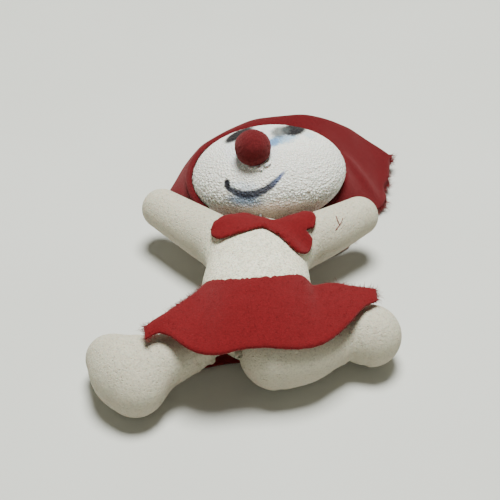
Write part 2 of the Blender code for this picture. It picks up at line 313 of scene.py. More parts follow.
def foam_skin(chains, field, size=0.75, flat_first=False):
    """A closed skin on the field's surface, from balls along the chains."""
    unit, unit_faces = ball(3)
    points, faces = [], []
    for number, rows in enumerate(chains):
        for row in rows:
            shell = unit * row[3] + row[:3]
            if flat_first and number == 0:
                shell[:, 2] = TORSO_MIDDLE_Z + (shell[:, 2] - TORSO_MIDDLE_Z) * TORSO_FLATNESS
            start = len(points) * len(unit)
            points.append(shell)
            faces += [tuple(i + start for i in f) for f in unit_faces]
    points = np.vstack(points)
    for grain in (size * 1.3, size):
        points, faces = voxel_skin(points, faces, grain)
        edges = edges_of(faces)
        points = settle(relax(points, edges, 4), field, 5)
    points = settle(relax(points, edges, 3), field, 4)
    return points, faces


def cut_by_plane(points, faces, spot, way):
    """The part of a closed skin on the far side of a plane, closed again."""
    item = mesh_object("cutting", points, faces, None)
    work = bmesh.new()
    work.from_mesh(item.data)
    bmesh.ops.bisect_plane(work, geom=work.verts[:] + work.edges[:] + work.faces[:], dist=1e-7,
                           plane_co=Vector(world(spot)), plane_no=Vector(way), clear_inner=True)
    rim = [e for e in work.edges if e.is_boundary]
    cap = bmesh.ops.holes_fill(work, edges=rim)["faces"]
    bmesh.ops.triangulate(work, faces=cap)
    for edge in rim:
        edge.smooth = False
    work.to_mesh(item.data)
    work.free()
    return item


def strand_mesh(name, roots, ways, lengths, width, material, curl=0.5):
    """Fine tapered fibres as one mesh. Each is a closed three-sided spike that curls."""
    points, faces = [], []
    for root, way, length in zip(roots, ways, lengths):
        way = way / max(np.linalg.norm(way), 1e-9)
        side = np.cross(way, CHANCE.normal(size=3))
        side /= max(np.linalg.norm(side), 1e-9)
        other = np.cross(way, side)
        thick = width * CHANCE.uniform(0.5, 1.4)
        bend = curl * CHANCE.normal(size=2)
        drift = side * bend[0] + other * bend[1]
        start = len(points)
        for step in range(4):
            t = step / 4
            centre = root + way * length * t + drift * length * t * t
            for corner in range(3):
                angle = 2 * math.pi * corner / 3
                ring = side * math.cos(angle) + other * math.sin(angle)
                points.append(centre + ring * thick * (1 - 0.6 * t))
        points.append(root + way * length + drift * length)
        faces.append((start + 2, start + 1, start))
        for step in range(3):
            low = start + 3 * step
            for corner in range(3):
                after = (corner + 1) % 3
                faces.append((low + corner, low + after, low + 3 + after, low + 3 + corner))
        low = start + 9
        for corner in range(3):
            faces.append((low + corner, low + (corner + 1) % 3, start + 12))
    points = np.array(points)
    points[:, 2] = np.maximum(points[:, 2], LOWEST_FIBRE)
    return mesh_object(name, points, faces, material)


# ---------- materials ----------

class Look:
    """A node material built a step at a time."""

    def __init__(self, name, **shader_values):
        self.material = bpy.data.materials.new(name)
        self.material.use_nodes = True
        self.tree = self.material.node_tree
        self.shader = self.tree.nodes["Principled BSDF"]
        for key, value in shader_values.items():
            self.shader.inputs[key.replace("_", " ")].default_value = value
        coordinates = self.add("ShaderNodeTexCoord")
        self.place, self.normal = coordinates.outputs["Object"], coordinates.outputs["Normal"]

    def add(self, kind, inputs=None, **settings):
        node = self.tree.nodes.new(kind)
        for key, value in settings.items():
            setattr(node, key, value)
        for key, value in (inputs or {}).items():
            if isinstance(value, bpy.types.NodeSocket):
                self.tree.links.new(value, node.inputs[key])
            else:
                node.inputs[key].default_value = value
        return node

    def math(self, operation, a, b=0.0, c=0.0):
        return self.add("ShaderNodeMath", {0: a, 1: b, 2: c}, operation=operation).outputs[0]

    def times(self, a, b):
        return self.math("MULTIPLY", a, b)

    def plus(self, a, b):
        return self.math("ADD", a, b)

    def minus(self, a, b):
        return self.math("SUBTRACT", a, b)

    def noise(self, size, detail=2.0, roughness=0.5, stretch=None):
        """Noise from 0 to 1 with features about size millimetres across."""
        at = self.place
        if stretch:
            at = self.add("ShaderNodeMapping", {"Vector": at, "Scale": stretch}).outputs[0]
        node = self.add("ShaderNodeTexNoise", {"Vector": at, "Scale": 1 / (size * MM), "Detail": detail,
                                               "Roughness": roughness})
        return node.outputs["Fac"]

    def cells(self, size):
        """Distance from the nearest of many seeds, about size millimetres apart."""
        node = self.add("ShaderNodeTexVoronoi", {"Vector": self.place, "Scale": 1 / (size * MM)})
        return node.outputs["Distance"]

    def ramp(self, value, low, high, start=0.0, end=1.0):
        """value from low..high smoothly to start..end."""
        return self.add("ShaderNodeMapRange", {"Value": value, "From Min": low, "From Max": high,
                                               "To Min": start, "To Max": end},
                        interpolation_type="SMOOTHSTEP").outputs["Result"]

    def mix(self, amount, a, b):
        """Colour a, turning into colour b as amount rises to 1."""
        a, b = (c if isinstance(c, bpy.types.NodeSocket) else (*c, 1.0) for c in (a, b))
        return self.add("ShaderNodeMix", {0: amount, 6: a, 7: b}, data_type="RGBA").outputs[2]

    def bump(self, heights, distance):
        """Bumps from several heights, each with a strength."""
        normal = None
        for height, strength in heights:
            node = self.add("ShaderNodeBump", {"Height": height, "Strength": strength,
                                               "Distance": distance * MM})
            if normal:
                self.tree.links.new(normal, node.inputs["Normal"])
            normal = node.outputs["Normal"]
        self.tree.links.new(normal, self.shader.inputs["Normal"])

    def colour(self, socket):
        self.tree.links.new(socket, self.shader.inputs["Base Color"])

    def rough(self, socket):
        self.tree.links.new(socket, self.shader.inputs["Roughness"])


def foam_look(name, light=(0.95, 0.92, 0.72), dark=(0.86, 0.82, 0.63), limb=(0.605, 0.57, 0.44)):
    """Old foam: off-white, duller towards the limbs' ends, darkened as painted shade on surfaces that face
    down, with a fine grain and dark pits.
    """
    look = Look(name, Specular_IOR_Level=0.25, Subsurface_Weight=0.12, Subsurface_Scale=0.0015)
    mottle = look.ramp(look.noise(5.0, 4.0), 0.35, 0.7)
    base = look.mix(mottle, light, dark)
    chest = tuple(world((1.5, -14, 22)))
    reach = look.add("ShaderNodeVectorMath", {0: look.place, 1: chest}, operation="DISTANCE")
    base = look.mix(look.ramp(reach.outputs["Value"], 0.012, 0.024), base, limb)
    grain = look.noise(0.55, 3.0, 0.7)
    blotch = look.ramp(look.noise(1.7, 3.0, 0.65), 0.46, 0.68, 0.0, 0.4)
    base = look.mix(blotch, base, (0.58, 0.54, 0.42))
    base = look.mix(look.ramp(grain, 0.42, 0.66, 0.0, 0.8), base, (0.46, 0.43, 0.34))
    pits = look.cells(0.85)
    spread = look.ramp(look.noise(2.2, 2.0), 0.45, 0.62)
    pit = look.times(look.ramp(pits, 0.2, 0.08), spread)
    base = look.mix(look.times(pit, 0.45), base, (0.3, 0.27, 0.22))
    # painted shade: the colour darkens on surfaces that face down, standing in for the shade under the body
    # and limbs
    underside_shade_facing = look.add("ShaderNodeSeparateXYZ", {0: look.normal}).outputs["Z"]
    base = look.mix(look.ramp(underside_shade_facing, 0.5, -0.4, 0.0, 0.75), base, (0.40, 0.35, 0.27))
    stain = look.ramp(look.noise(7.0, 3.0, 0.6), 0.6, 0.74, 0.0, 0.22)
    base = look.mix(stain, base, (0.56, 0.42, 0.36))
    look.colour(base)
    look.rough(look.ramp(grain, 0.3, 0.7, 0.72, 0.95))
    look.bump([(grain, 0.8), (look.noise(1.6, 2.0), 0.5), (look.ramp(pits, 0.05, 0.3), 0.6)], 0.4)
    return look.material


def felt_look(name, colour=(0.192, 0.0075, 0.0115), dark=(0.12, 0.0042, 0.006)):
    """Matted wool fibres with no weave."""
    look = Look(name, Specular_IOR_Level=0.1, Sheen_Weight=0.18, Sheen_Roughness=0.6)
    look.shader.inputs["Sheen Tint"].default_value = (0.9, 0.35, 0.35, 1.0)
    first = look.noise(0.8, 4.0, 0.75, stretch=(1.0, 3.5, 1.0))
    second = look.noise(0.8, 4.0, 0.75, stretch=(3.2, 1.0, 1.4))
    fibres = look.math("MAXIMUM", first, second)
    base = look.mix(look.ramp(fibres, 0.42, 0.75), dark, colour)
    patch = look.ramp(look.noise(6.0, 3.0), 0.35, 0.7, 0.0, 0.25)
    base = look.mix(patch, base, dark)
    lint = look.ramp(look.noise(0.3, 2.0, 0.8), 0.7, 0.78, 0.0, 0.5)
    base = look.mix(lint, base, (0.55, 0.1, 0.1))
    look.colour(base)
    look.rough(look.ramp(fibres, 0.3, 0.8, 0.98, 0.86))
    look.bump([(fibres, 0.8), (look.noise(2.5, 2.0), 0.35)], 0.3)
    return look.material


def floor_look():
    look = Look("floor", Specular_IOR_Level=0.3)
    tone = look.ramp(look.noise(70.0, 2.0), 0.3, 0.7)
    look.colour(look.mix(tone, (0.64, 0.65, 0.605), (0.66, 0.67, 0.625)))
    look.rough(look.ramp(look.noise(3.0, 2.0), 0.3, 0.7, 0.55, 0.62))
    return look.material


def wire_look():
    look = Look("wire_steel", Metallic=1.0)
    drawn = look.noise(0.5, 3.0, 0.6, stretch=(1.0, 6.0, 1.0))
    look.colour(look.mix(look.ramp(drawn, 0.3, 0.7), (0.42, 0.42, 0.43), (0.28, 0.27, 0.26)))
    look.rough(look.ramp(drawn, 0.3, 0.7, 0.32, 0.5))
    look.bump([(drawn, 0.3)], 0.05)
    return look.material


def glue_look():
    look = Look("dried_glue", Specular_IOR_Level=0.5, Subsurface_Weight=0.2, Subsurface_Scale=0.001)
    tone = look.noise(0.7, 3.0)
    look.colour(look.mix(look.ramp(tone, 0.35, 0.65), (0.95, 0.94, 0.92), (0.80, 0.78, 0.74)))
    look.rough(look.ramp(tone, 0.3, 0.7, 0.3, 0.6))
    look.bump([(tone, 0.4)], 0.2)
    return look.material


# middle (across, up), long and short radius, degrees, softness, raggedness and strength, then colour
SMEARS = (((-3.6, 7.5, 8.2, 7.0, 0, 0.25, 0.7, 0.55), (0.74, 0.78, 0.82)),
          ((4.6, 9.2, 4.4, 1.6, 10, 0.5, 1.4, 0.9), (0.33, 0.52, 0.70)),
          ((2.6, 8.4, 2.4, 1.1, 25, 0.5, 1.4, 0.85), (0.14, 0.28, 0.52)),
          ((13.0, 10.3, 1.8, 0.9, -30, 0.5, 1.0, 0.5), (0.45, 0.66, 0.75)),
          ((-5.8, -8.3, 5.0, 1.7, -6, 0.6, 1.0, 0.9), (0.19, 0.26, 0.38)),
          ((-5.8, -4.4, 4.2, 1.3, -10, 0.6, 1.0, 0.45), (0.48, 0.58, 0.74)))
BLACK_PAINT = (((-10.8, -3.3, 0.9, 1.6, 6, 0.3, 0.5, 1.0), (0.012, 0.012, 0.018)),
               ((-8.2, 12.2, 4.6, 1.8, 31, 0.22, 0.5, 1.0), (0.012, 0.01, 0.012)),
               ((8.2, 12.7, 3.5, 2.4, 4, 0.22, 0.5, 1.0), (0.012, 0.01, 0.012)),
               ((4.4, 12.0, 2.7, 2.0, 15, 0.45, 0.8, 0.85), (0.08, 0.09, 0.09)))


def face_look():
    """The head's painted front: a granular white coat, soft black eyes, blue smears and a smile, with painted
    shade between the grains, painted glints, and painted shade with a pink reflection low on the chin.
    """
    look = Look("painted_head", Specular_IOR_Level=0.3, Subsurface_Weight=0.08, Subsurface_Scale=0.001)
    split = look.add("ShaderNodeSeparateXYZ", {0: look.place})
    u, y, z = (look.times(socket, 1 / MM) for socket in split.outputs)
    v = look.plus(look.times(y, FACE_UP_Y), look.times(z, FACE_UP_Z))
    blur = look.minus(look.noise(1.6, 4.0, 0.7), 0.5)
    fine = look.minus(look.noise(0.5, 3.0, 0.7), 0.5)
    front = look.ramp(z, -3.0, 0.5)

    def spot(cu, cv, long, short, degrees, soft, ragged, strength):
        """A soft painted patch: 1 inside an ellipse, 0 well outside."""
        c, s = math.cos(math.radians(degrees)), math.sin(math.radians(degrees))
        du, dv = look.minus(u, cu), look.minus(v, cv)
        first = look.plus(look.times(du, c / long), look.times(dv, s / long))
        second = look.plus(look.times(du, -s / short), look.times(dv, c / short))
        away = look.math("SQRT", look.plus(look.times(first, first), look.times(second, second)))
        away = look.plus(away, look.times(blur, ragged))
        away = look.plus(away, look.times(fine, ragged * 0.6))
        inside = look.ramp(away, 1 + soft, 1 - soft)
        return look.times(inside, look.times(front, strength))

    tone = look.ramp(look.noise(4.0, 3.0), 0.35, 0.7)
    base = look.mix(tone, (1.0, 1.0, 0.92), (0.96, 0.95, 0.87))
    grit = look.cells(0.68)
    grainy = look.times(look.ramp(v, 9.5, 3.0, 0.3, 1.0), look.ramp(v, -10.5, -9.0, 0.35, 1.0))
    # a band low on the face gets stronger painted shade between the grains and stronger painted glints
    margin = look.times(look.ramp(v, -5.5, -7.0), look.ramp(v, -10.8, -9.6))
    grainy = look.times(grainy, look.plus(1.0, look.times(margin, 0.8)))
    # painted shade: the gaps between the coat's grains are darkened
    gaps = look.times(look.ramp(grit, 0.34, 0.6), grainy)
    base = look.mix(look.times(gaps, 0.44), base, (0.34, 0.33, 0.29))
    # painted highlight: bright specks on the grains stand in for glitter catching the light
    painted_glint = look.times(look.ramp(look.noise(0.55, 2.0, 0.6), 0.56, 0.66), grainy)
    base = look.mix(look.times(painted_glint, 0.75), base, (0.99, 0.99, 0.95))
    # painted shade and painted reflection: the lowest part of the face darkens and turns pink, standing in
    # for shade and red light bounced from the felt
    chin_shade_and_red_bounce = look.ramp(look.plus(v, look.times(blur, 5.0)), -8.2, -10.6)
    base = look.mix(chin_shade_and_red_bounce, base, (0.66, 0.53, 0.46))
    for patch, colour in SMEARS:
        base = look.mix(spot(*patch), base, colour)
    bowl = look.times(look.math("POWER", look.plus(u, 3.9), 2.0), 0.058)
    bowl = look.plus(bowl, look.times(u, 0.034))
    smile = look.minus(v, look.plus(bowl, -6.75))
    smile = look.math("ABSOLUTE", look.plus(smile, look.times(blur, 0.9)))
    width = look.ramp(u, -12.5, -4.0, 0.95, 1.3)
    width = look.times(width, look.ramp(u, 7.4, 1.5, 0.35, 1.0))
    line = look.ramp(look.math("DIVIDE", smile, width), 1.35, 0.55)
    for end in (look.ramp(u, -11.9, -10.7), look.ramp(u, 7.4, 4.6), look.ramp(v, 0.6, -1.2), front):
        line = look.times(line, end)
    ink = look.mix(look.ramp(u, 1.0, 6.5), (0.012, 0.015, 0.032), (0.09, 0.13, 0.28))
    base = look.mix(look.times(line, 0.96), base, ink)
    for patch, colour in BLACK_PAINT:
        base = look.mix(spot(*patch), base, colour)
    look.colour(base)
    look.rough(look.ramp(fine, -0.2, 0.2, 0.5, 0.78))
    look.bump([(look.ramp(grit, 0.1, 0.7, 1.0, 0.0), 0.9), (look.noise(0.4, 3.0, 0.7), 0.5)], 0.3)
    return look.material


FOAM = foam_look("old_foam")
FELT_LOOK = felt_look("red_wool_felt")
# painted shade: the hood uses a darker copy of the red felt, standing in for the shade behind and under the
# head
HOOD_SHADED_FELT = felt_look("hood_felt_painted_shade", (0.138, 0.0045, 0.0080), (0.078, 0.0025, 0.0045))
NOSE_LOOK = felt_look("nose_wool", (0.15, 0.012, 0.014), (0.08, 0.006, 0.008))
FUZZ = felt_look("loose_wool", (0.27, 0.014, 0.018), (0.18, 0.008, 0.011))
GLUE = glue_look()
FACE = face_look()
WIRE = wire_look()


# ---------- camera, floor and light ----------

FLOOR_PROFILE = [(0, 0), (500, 0), (800, 0), (930, 25), (1020, 95), (1070, 200), (1085, 340), (1085, 900)]
FLOOR_TURNS = 64
LIGHTS = [("overhead", (0.03, 0.1, 0.75), 0.30, 12.4, (0.985, 1.0, 0.965)),
          ("fill", (-0.1, -0.8, 0.6), 0.7, 0.2, (1.0, 0.92, 0.82))]
SKY_COLOUR = (1.0, 0.9, 0.82, 1)
SKY_STRENGTH = 0.07


def make_stage():
    """A camera, a pale floor that turns up into a cove at its edge, two soft lights and a faint sky."""
    camera_data = bpy.data.cameras.new("camera")
    camera_data.angle = CAMERA_ANGLE
    camera_data.clip_start = 0.01
    camera = bpy.data.objects.new("camera", camera_data)
    bpy.context.scene.collection.objects.link(camera)
    aim = world((0, 0, 12))
    back_and_up = Vector((0, -math.cos(CAMERA_LIFT), math.sin(CAMERA_LIFT)))
    camera.location = Vector(aim) + back_and_up * CAMERA_DISTANCE
    camera.rotation_euler = (math.radians(90) - CAMERA_LIFT, 0, 0)
    bpy.context.scene.camera = camera
    points, faces = [], []
    for radius, height in FLOOR_PROFILE:
        for k in range(FLOOR_TURNS):
            angle = 2 * math.pi * k / FLOOR_TURNS
            points.append((radius * math.cos(angle), radius * math.sin(angle), height))
    for ring in range(len(FLOOR_PROFILE) - 1):
        low = ring * FLOOR_TURNS
        high = low + FLOOR_TURNS
        for k in range(FLOOR_TURNS):
            after = (k + 1) % FLOOR_TURNS
            faces.append((low + k, high + k, high + after, low + after))
    floor = mesh_object("floor", points, faces, floor_look())
    for name, spot, size, power, colour in LIGHTS:
        data = bpy.data.lights.new(name, "AREA")
        data.shape = "DISK"
        data.size = size
        data.energy = power
        data.color = colour
        light = bpy.data.objects.new(name, data)
        light.location = spot
        light.rotation_euler = (-Vector(spot)).to_track_quat("-Z", "Y").to_euler()
        bpy.context.scene.collection.objects.link(light)
    sky = bpy.data.worlds.new("studio")
    sky.use_nodes = True
    back = sky.node_tree.nodes["Background"]
    back.inputs["Color"].default_value = SKY_COLOUR
    back.inputs["Strength"].default_value = SKY_STRENGTH
    bpy.context.scene.world = sky


make_stage()


# ---------- foam ----------

def foam_piece(item, material, node_names):
    """Gives a foam piece its look and hides the CAD nodes it replaces."""
    item.data.materials.clear()
    item.data.materials.append(material)
    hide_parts(*node_names)
    return item


def make_body():
    """The trunk and the arms, cut from one skin at the shoulder seams."""
    points, faces = foam_skin([TORSO_ROWS] + ARM_ROWS, body_field, 0.8, flat_first=True)
    arms = []
    for side, spot, way in (("right", SEAM_RIGHT, SEAM_RIGHT_WAY), ("left", SEAM_LEFT, SEAM_LEFT_WAY)):
        arm = cut_by_plane(points, faces, spot, way)
        arm.name = "foam_arm_" + side
        arms.append((arm, side, spot, way))
    trunk = cut_by_plane(points, faces, SEAM_RIGHT, -SEAM_RIGHT_WAY)
    trunk_points, trunk_faces = mesh_arrays(trunk.data)
    bpy.data.objects.remove(trunk)
    trunk = cut_by_plane(trunk_points, trunk_faces, SEAM_LEFT, -SEAM_LEFT_WAY)
    trunk.name = "foam_torso"
    foam_piece(trunk, FOAM, ["torso"])
    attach(trunk, "torso")
    for arm, side, spot, way in arms:
        foam_piece(arm, FOAM, ["arm_" + side])
        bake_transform(arm)


def make_legs():
    """The right leg, torn at its root, and the left leg, creased at the ankle."""
    points, faces = foam_skin([LEG_RIGHT_ROWS, FOOT_RIGHT_ROWS], leg_right_field, 0.6)
    root = np.array(LEG_RIGHT[0][:3])
    outward = normals_of(points, faces)
    torn = np.clip(1.35 - np.linalg.norm(points - root - np.array((3.0, -1.0, 0)), axis=1) / 6.0, 0, 1)
    lumps = waves(points, 1.7, 3.1) + 0.6 * waves(points, 0.8, 7.7)
    points += outward * (torn * (lumps * 1.3 - 0.2))[:, None]
    leg = mesh_object("foam_leg_right", points, faces, FOAM)
    foam_piece(leg, FOAM, ["leg_right"])
    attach(leg, "leg_right")

    points, faces = foam_skin([LEG_LEFT_ROWS, FOOT_ROWS], leg_left_field, 0.7)
    outward = normals_of(points, faces)
    fold = (points - ANKLE) @ ANKLE_WAY
    crease = np.exp(-((fold - 0.6) / 0.55) ** 2) + 0.7 * np.exp(-((fold + 1.1) / 0.5) ** 2)
    points -= outward * (0.22 * crease * np.clip((11 - points[:, 2]) / 6 + 1, 0, 1))[:, None]
    leg = mesh_object("foam_leg_left", points, faces, FOAM)
    foam_piece(leg, FOAM, ["leg_left", "foot_left"])
    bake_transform(leg)


def make_head():
    """A flattened ball with a granular coat on its front, hollowed to clear the neck."""
    unit, faces = ball(7)

    def field(points):
        return np.maximum(head_field(points), 0.6 - torso_field(points))

    points = settle(out_of_head(unit * HEAD_SEMI), field, 4)
    outward = normals_of(points, faces)
    local = in_head(points)
    height = FACE_UP_Y * local[:, 1] + FACE_UP_Z * local[:, 2]
    coat = np.clip((local[:, 2] + 3) / 3, 0, 1) * np.clip((height + 9.5 + 2 * waves(points, 4.0)) / 1.5, 0, 1)
    nose_way = np.linalg.norm(points - NOSE_CENTRE, axis=1)
    coarse = np.clip((nose_way - 7) / 6, 0.25, 1) * np.clip((8 - height) / 9, 0.45, 1)
    grains = np.array([1 - min(noise.voronoi(Vector(p / 0.8))[0][0], 1.0) for p in points])
    worms = np.abs(waves(points, 0.62, 2.3))
    points += outward * (coat * coarse * (0.42 * grains - 0.34 * worms) + 0.05 * waves(points, 0.5))[:, None]
    head = mesh_object("painted_head", points, faces, FACE)
    frame_of_head = Matrix.Translation(Vector(world(HEAD_CENTRE))) @ HEAD_ROLL.to_4x4()
    head.data.transform(frame_of_head.inverted())
    head.matrix_world = frame_of_head
    foam_piece(head, FACE, ["head_ball"])
    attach(head, "head")


# ---------- felt ----------

# x, y and z along each felt's lines; the bow and the back skirt are flat outlines
BOW_OUTLINE = [(-10.6, -1.5), (-10.3, -3.2), (-8.4, -4.6), (-5.7, -4.2), (-1.1, -2.9), (3, -1.2),
               (4.4, -1.6), (7.8, -4.5), (11.7, -8.6), (13.7, -9.2), (15.3, -8.1), (16.7, -5.2),
               (16.7, -3.0), (15.3, -1.2), (17.4, -0.3), (18.0, 3.0), (17.2, 4.8), (15.4, 5.9), (12.4, 5.2),
               (10.5, 4.4), (6.3, 2.6), (3, 4.4), (0.3, 6.6), (-2, 7.4), (-4.7, 5.6), (-7.7, 3.7),
               (-8.8, 2.3), (-10.1, 0.9)]
SKIRT_TOP = [(-25.7, -39.4, 20.6), (-21.3, -34.1, 19.8), (-17.2, -28.6, 18.6), (-13.4, -22.8, 17.2),
             (-11.0, -20.6, 18.0), (-6.4, -23.1, 21.3), (-1.3, -24.1, 22.6), (4.0, -23.7, 22.8),
             (9.0, -21.8, 21.6), (13.2, -19.2, 19.3), (16.2, -19.6, 16.2), (21.2, -18.9, 16.4),
             (27.5, -21.9, 17.8), (32.2, -23.8, 18.8)]
SKIRT_HEM = [(-25.4, -43.3, 20.2), (-22.4, -41.3, 20.4), (-19.3, -42.5, 20.2), (-16.0, -45.5, 20.1),
             (-12.2, -47.3, 19.9), (-7.6, -47.9, 20.0), (-2.5, -46.7, 19.9), (3.5, -46.2, 19.8),
             (9.8, -46.1, 19.6), (15.5, -44.6, 19.4), (20.0, -41.8, 19.2), (24.3, -37.2, 19.2),
             (28.6, -30.9, 19.1), (32.2, -27.8, 18.5)]
SKIRT_BACK = [(-12.5, -15), (-20, -27), (-26, -36.5), (-16, -35), (-6.8, -32.6), (8, -30.5), (22, -28),
              (31.5, -24.6), (24, -18.5), (17, -15), (2, -14.6)]
HOOD_TOP = [(-24.6, 35.8, 4), (-21, 45, 6), (-17, 50.3, 9), (-11.5, 53, 12), (-1, 56.2, 16), (13, 57.8, 18),
            (23, 58.7, 16.5), (32, 59.2, 12), (38, 57.8, 8.5), (44.7, 54.6, 5)]
HOOD_BOTTOM = [(-20, 27), (-17, 21), (-12, 14), (-6, 10.5), (0, 9), (6, 8), (12, 8), (18, 9), (24, 11),
               (29, 15)]
HOOD_INNER = [(-13.0, 20.6, 9.6), (-17.6, 31, 12.5), (-16.2, 38.8, 15.8), (-12, 45.5, 17.5),
              (-3, 50.5, 18.6), (7, 52.3, 18.8), (17, 50.5, 17.8), (25.5, 43, 14.5), (28.4, 33, 12.5),
              (21.8, 21, 9.5)]
HOOD_LIP_ROOM = 0.35  # the thinned inner edge lies this near the head
HOOD_CUT_MIDDLE = np.array((39.6, 31.5, 2.0))  # where the upper layer ends beside the arm
HOOD_CUT_FOOT = np.array((41.0, 42.0, 0.8))  # where the cut side leaves the table
HOOD_FOLD_START = (27, 46)  # the crease on the flap runs from here to the lower right
HOOD_NOTCH_Y = 41
HOOD_COLUMNS = 14  # for each station round the hood
HOOD_ROWS = 12  # for each station across the felt
SKIRT_COLUMNS = 9
SKIRT_ROWS = 38
SKIRT_TIPS = (((-25.5, -41), 4.5), ((32.2, -25.8), 4.0))  # each tip and how far its fringe reaches
FIBRE_LINES = (((25.4, 4.8, 19), (24.8, 2.6, 19), (23.6, 0.8, 18.5)),
               ((23.6, 5.2, 19), (23.9, 3.9, 19), (24.6, 2.7, 19)))


def thicken(points, faces, depth, half=FELT / 2):
    """A closed felt round an open surface. It thins towards its edge; depth is the distance from there."""
    outward = normals_of(points, faces)
    thin = (half * np.clip(0.55 + 0.45 * depth / 0.9, 0.55, 1))[:, None]
    count = len(points)
    directed = {(f[k], f[(k + 1) % len(f)]) for f in faces for k in range(len(f))}
    walls = [(b, a, a + count, b + count) for a, b in directed if (b, a) not in directed]
    under = [tuple(i + count for i in reversed(f)) for f in faces]
    return np.vstack([points + outward * thin, points - outward * thin]), list(faces) + under + sorted(walls)


def grid_faces(rows, columns):
    """The quads of a grid of points."""
    return [(r * columns + c, r * columns + c + 1, (r + 1) * columns + c + 1, (r + 1) * columns + c)
            for r in range(rows - 1) for c in range(columns - 1)]


def grid_places(rows, columns):
    """Each grid point's row and column, and whether it lies on the edge."""
    row, column = np.divmod(np.arange(rows * columns), columns)
    return row, column, (column == 0) | (column == columns - 1) | (row == 0) | (row == rows - 1)


def rim_edges(faces):
    """A sheet's free edges, each with its face."""
    directed = {(f[k], f[(k + 1) % len(f)]): n for n, f in enumerate(faces) for k in range(len(f))}
    return sorted((a, b, n) for (a, b), n in directed.items() if (b, a) not in directed)


def edge_depth(points, faces):
    """Each point's distance from the sheet's edge."""
    rim = points[sorted({a for a, b, n in rim_edges(faces)})]
    nearest = np.full(len(points), 1e9)
    for spot in rim:
        nearest = np.minimum(nearest, ((points - spot) ** 2).sum(1))
    return np.sqrt(nearest)


def outline_sheet(outline, cell, steps=6):
    """Quads filling a smooth closed outline, with the edge points moved onto it."""
    rows = np.array(outline, float)
    loop = smooth_rows(np.vstack([rows[-2:], rows, rows[:2]]), steps)[2 * steps:-2 * steps - 1]
    low, high = loop.min(0) - cell, loop.max(0) + cell
    xs, ys = np.arange(low[0], high[0] + cell, cell), np.arange(low[1], high[1] + cell, cell)
    gx, gy = np.meshgrid(xs, ys)
    spots = np.stack([gx.ravel(), gy.ravel()], axis=1)

    def inside(at):
        odd = np.zeros(len(at), bool)
        for a, b in zip(loop, np.roll(loop, -1, axis=0)):
            crosses = (a[1] > at[:, 1]) != (b[1] > at[:, 1])
            where = a[0] + (at[:, 1] - a[1]) * (b[0] - a[0]) / (b[1] - a[1] if b[1] != a[1] else 1e-9)
            odd ^= crosses & (at[:, 0] < where)
        return odd

    quads = np.array(grid_faces(len(ys), len(xs)))
    kept = quads[inside(spots[quads].mean(1))]
    used = np.unique(kept)
    order = {int(v): i for i, v in enumerate(used)}
    faces = [tuple(order[int(v)] for v in q) for q in kept]
    points = np.column_stack([spots[used], np.zeros(len(used))])
    for a in {a for a, b, n in rim_edges(faces)}:
        gaps = ((loop - points[a, :2]) ** 2).sum(1)
        points[a, :2] = loop[gaps.argmin()]
    held = np.isin(np.arange(len(points)), [a for a, b, n in rim_edges(faces)])
    return relax(points, edges_of(faces), 3, 0.5, held=held), faces


def dropped(points, field, room, lowest):
    """Points lowered onto a form from above."""
    points = points.copy()
    points[:, 2] = 30.0
    for _ in range(60):
        points[:, 2] = np.maximum(points[:, 2] - 0.6 * (field(points) - room), lowest)
    return points


def edge_fibres(name, points, faces, amount, length, width, material, body):
    """Loose fibres along a sheet's edge. amount gives fibres a millimetre at a point, length their length."""
    roots, ways, lengths = [], [], []
    for a, b, n in rim_edges(faces):
        start, end = points[a], points[b]
        middle = (start + end) / 2
        span = np.linalg.norm(end - start)
        out = middle - points[list(faces[n])].mean(0)
        along_edge = (end - start) / max(span, 1e-9)
        out -= along_edge * (out @ along_edge)
        out /= max(np.linalg.norm(out), 1e-9)
        for _ in range(CHANCE.poisson(max(amount(middle), 0) * span)):
            root = start + (end - start) * CHANCE.random() - out * 0.25
            roots.append(root + (0, 0, CHANCE.uniform(-0.25, 0.3)))
            ways.append(out + along_edge * CHANCE.normal() * 0.55 + np.array((0, 0, CHANCE.normal() * 0.35)))
            lengths.append(length(middle) * CHANCE.uniform(0.35, 1.25))
    fibres = strand_mesh(name, roots, ways, lengths, width, material)
    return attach(fibres, body)


def surface_fibres(name, points, faces, count, length, material, body, half=FELT / 2,
                   width=0.03):
    """Short fibres lying on the upper side of a sheet or a form."""
    outward = normals_of(points, faces)
    corners = np.array([f[:3] for f in faces])
    sizes = np.linalg.norm(np.cross(points[corners[:, 1]] - points[corners[:, 0]],
                                    points[corners[:, 2]] - points[corners[:, 0]]), axis=1)
    chosen = corners[CHANCE.choice(len(corners), count, p=sizes / sizes.sum())]
    weights = CHANCE.dirichlet((1, 1, 1), count)
    roots = (points[chosen] * weights[:, :, None]).sum(1)
    up = outward[chosen].mean(1)
    roots = roots + up * (half - 0.05)
    lying = CHANCE.normal(size=(count, 3))
    lying -= up * (lying * up).sum(1)[:, None]
    lying /= np.maximum(np.linalg.norm(lying, axis=1, keepdims=True), 1e-9)
    ways = lying + up * CHANCE.uniform(0.15, 0.75, count)[:, None]
    lengths = length * CHANCE.uniform(0.4, 1.2, count)
    fibres = strand_mesh(name, roots, ways, lengths, width, material, curl=0.7)
    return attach(fibres, body)


def felt_piece(name, points, faces, nodes, body, look=FELT_LOOK):
    """A thickened felt that replaces its CAD node."""
    depth = edge_depth(points, faces)
    item = mesh_object(name, *thicken(points, faces, depth), look)
    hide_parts(*nodes)
    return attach(item, body)


def near(point, spot, reach):
    """1 at the spot, falling to 0 at reach."""
    return max(0.0, 1 - float(np.linalg.norm(point[:2] - np.array(spot[:2]))) / reach)


def ragged(points, faces, amount):
    """Roughens a sheet's cut edge by small steps in its own plane."""
    points = points.copy()
    for a, b, n in rim_edges(faces):
        points[a, :2] += CHANCE.normal(size=2) * amount(points[a])
    return points


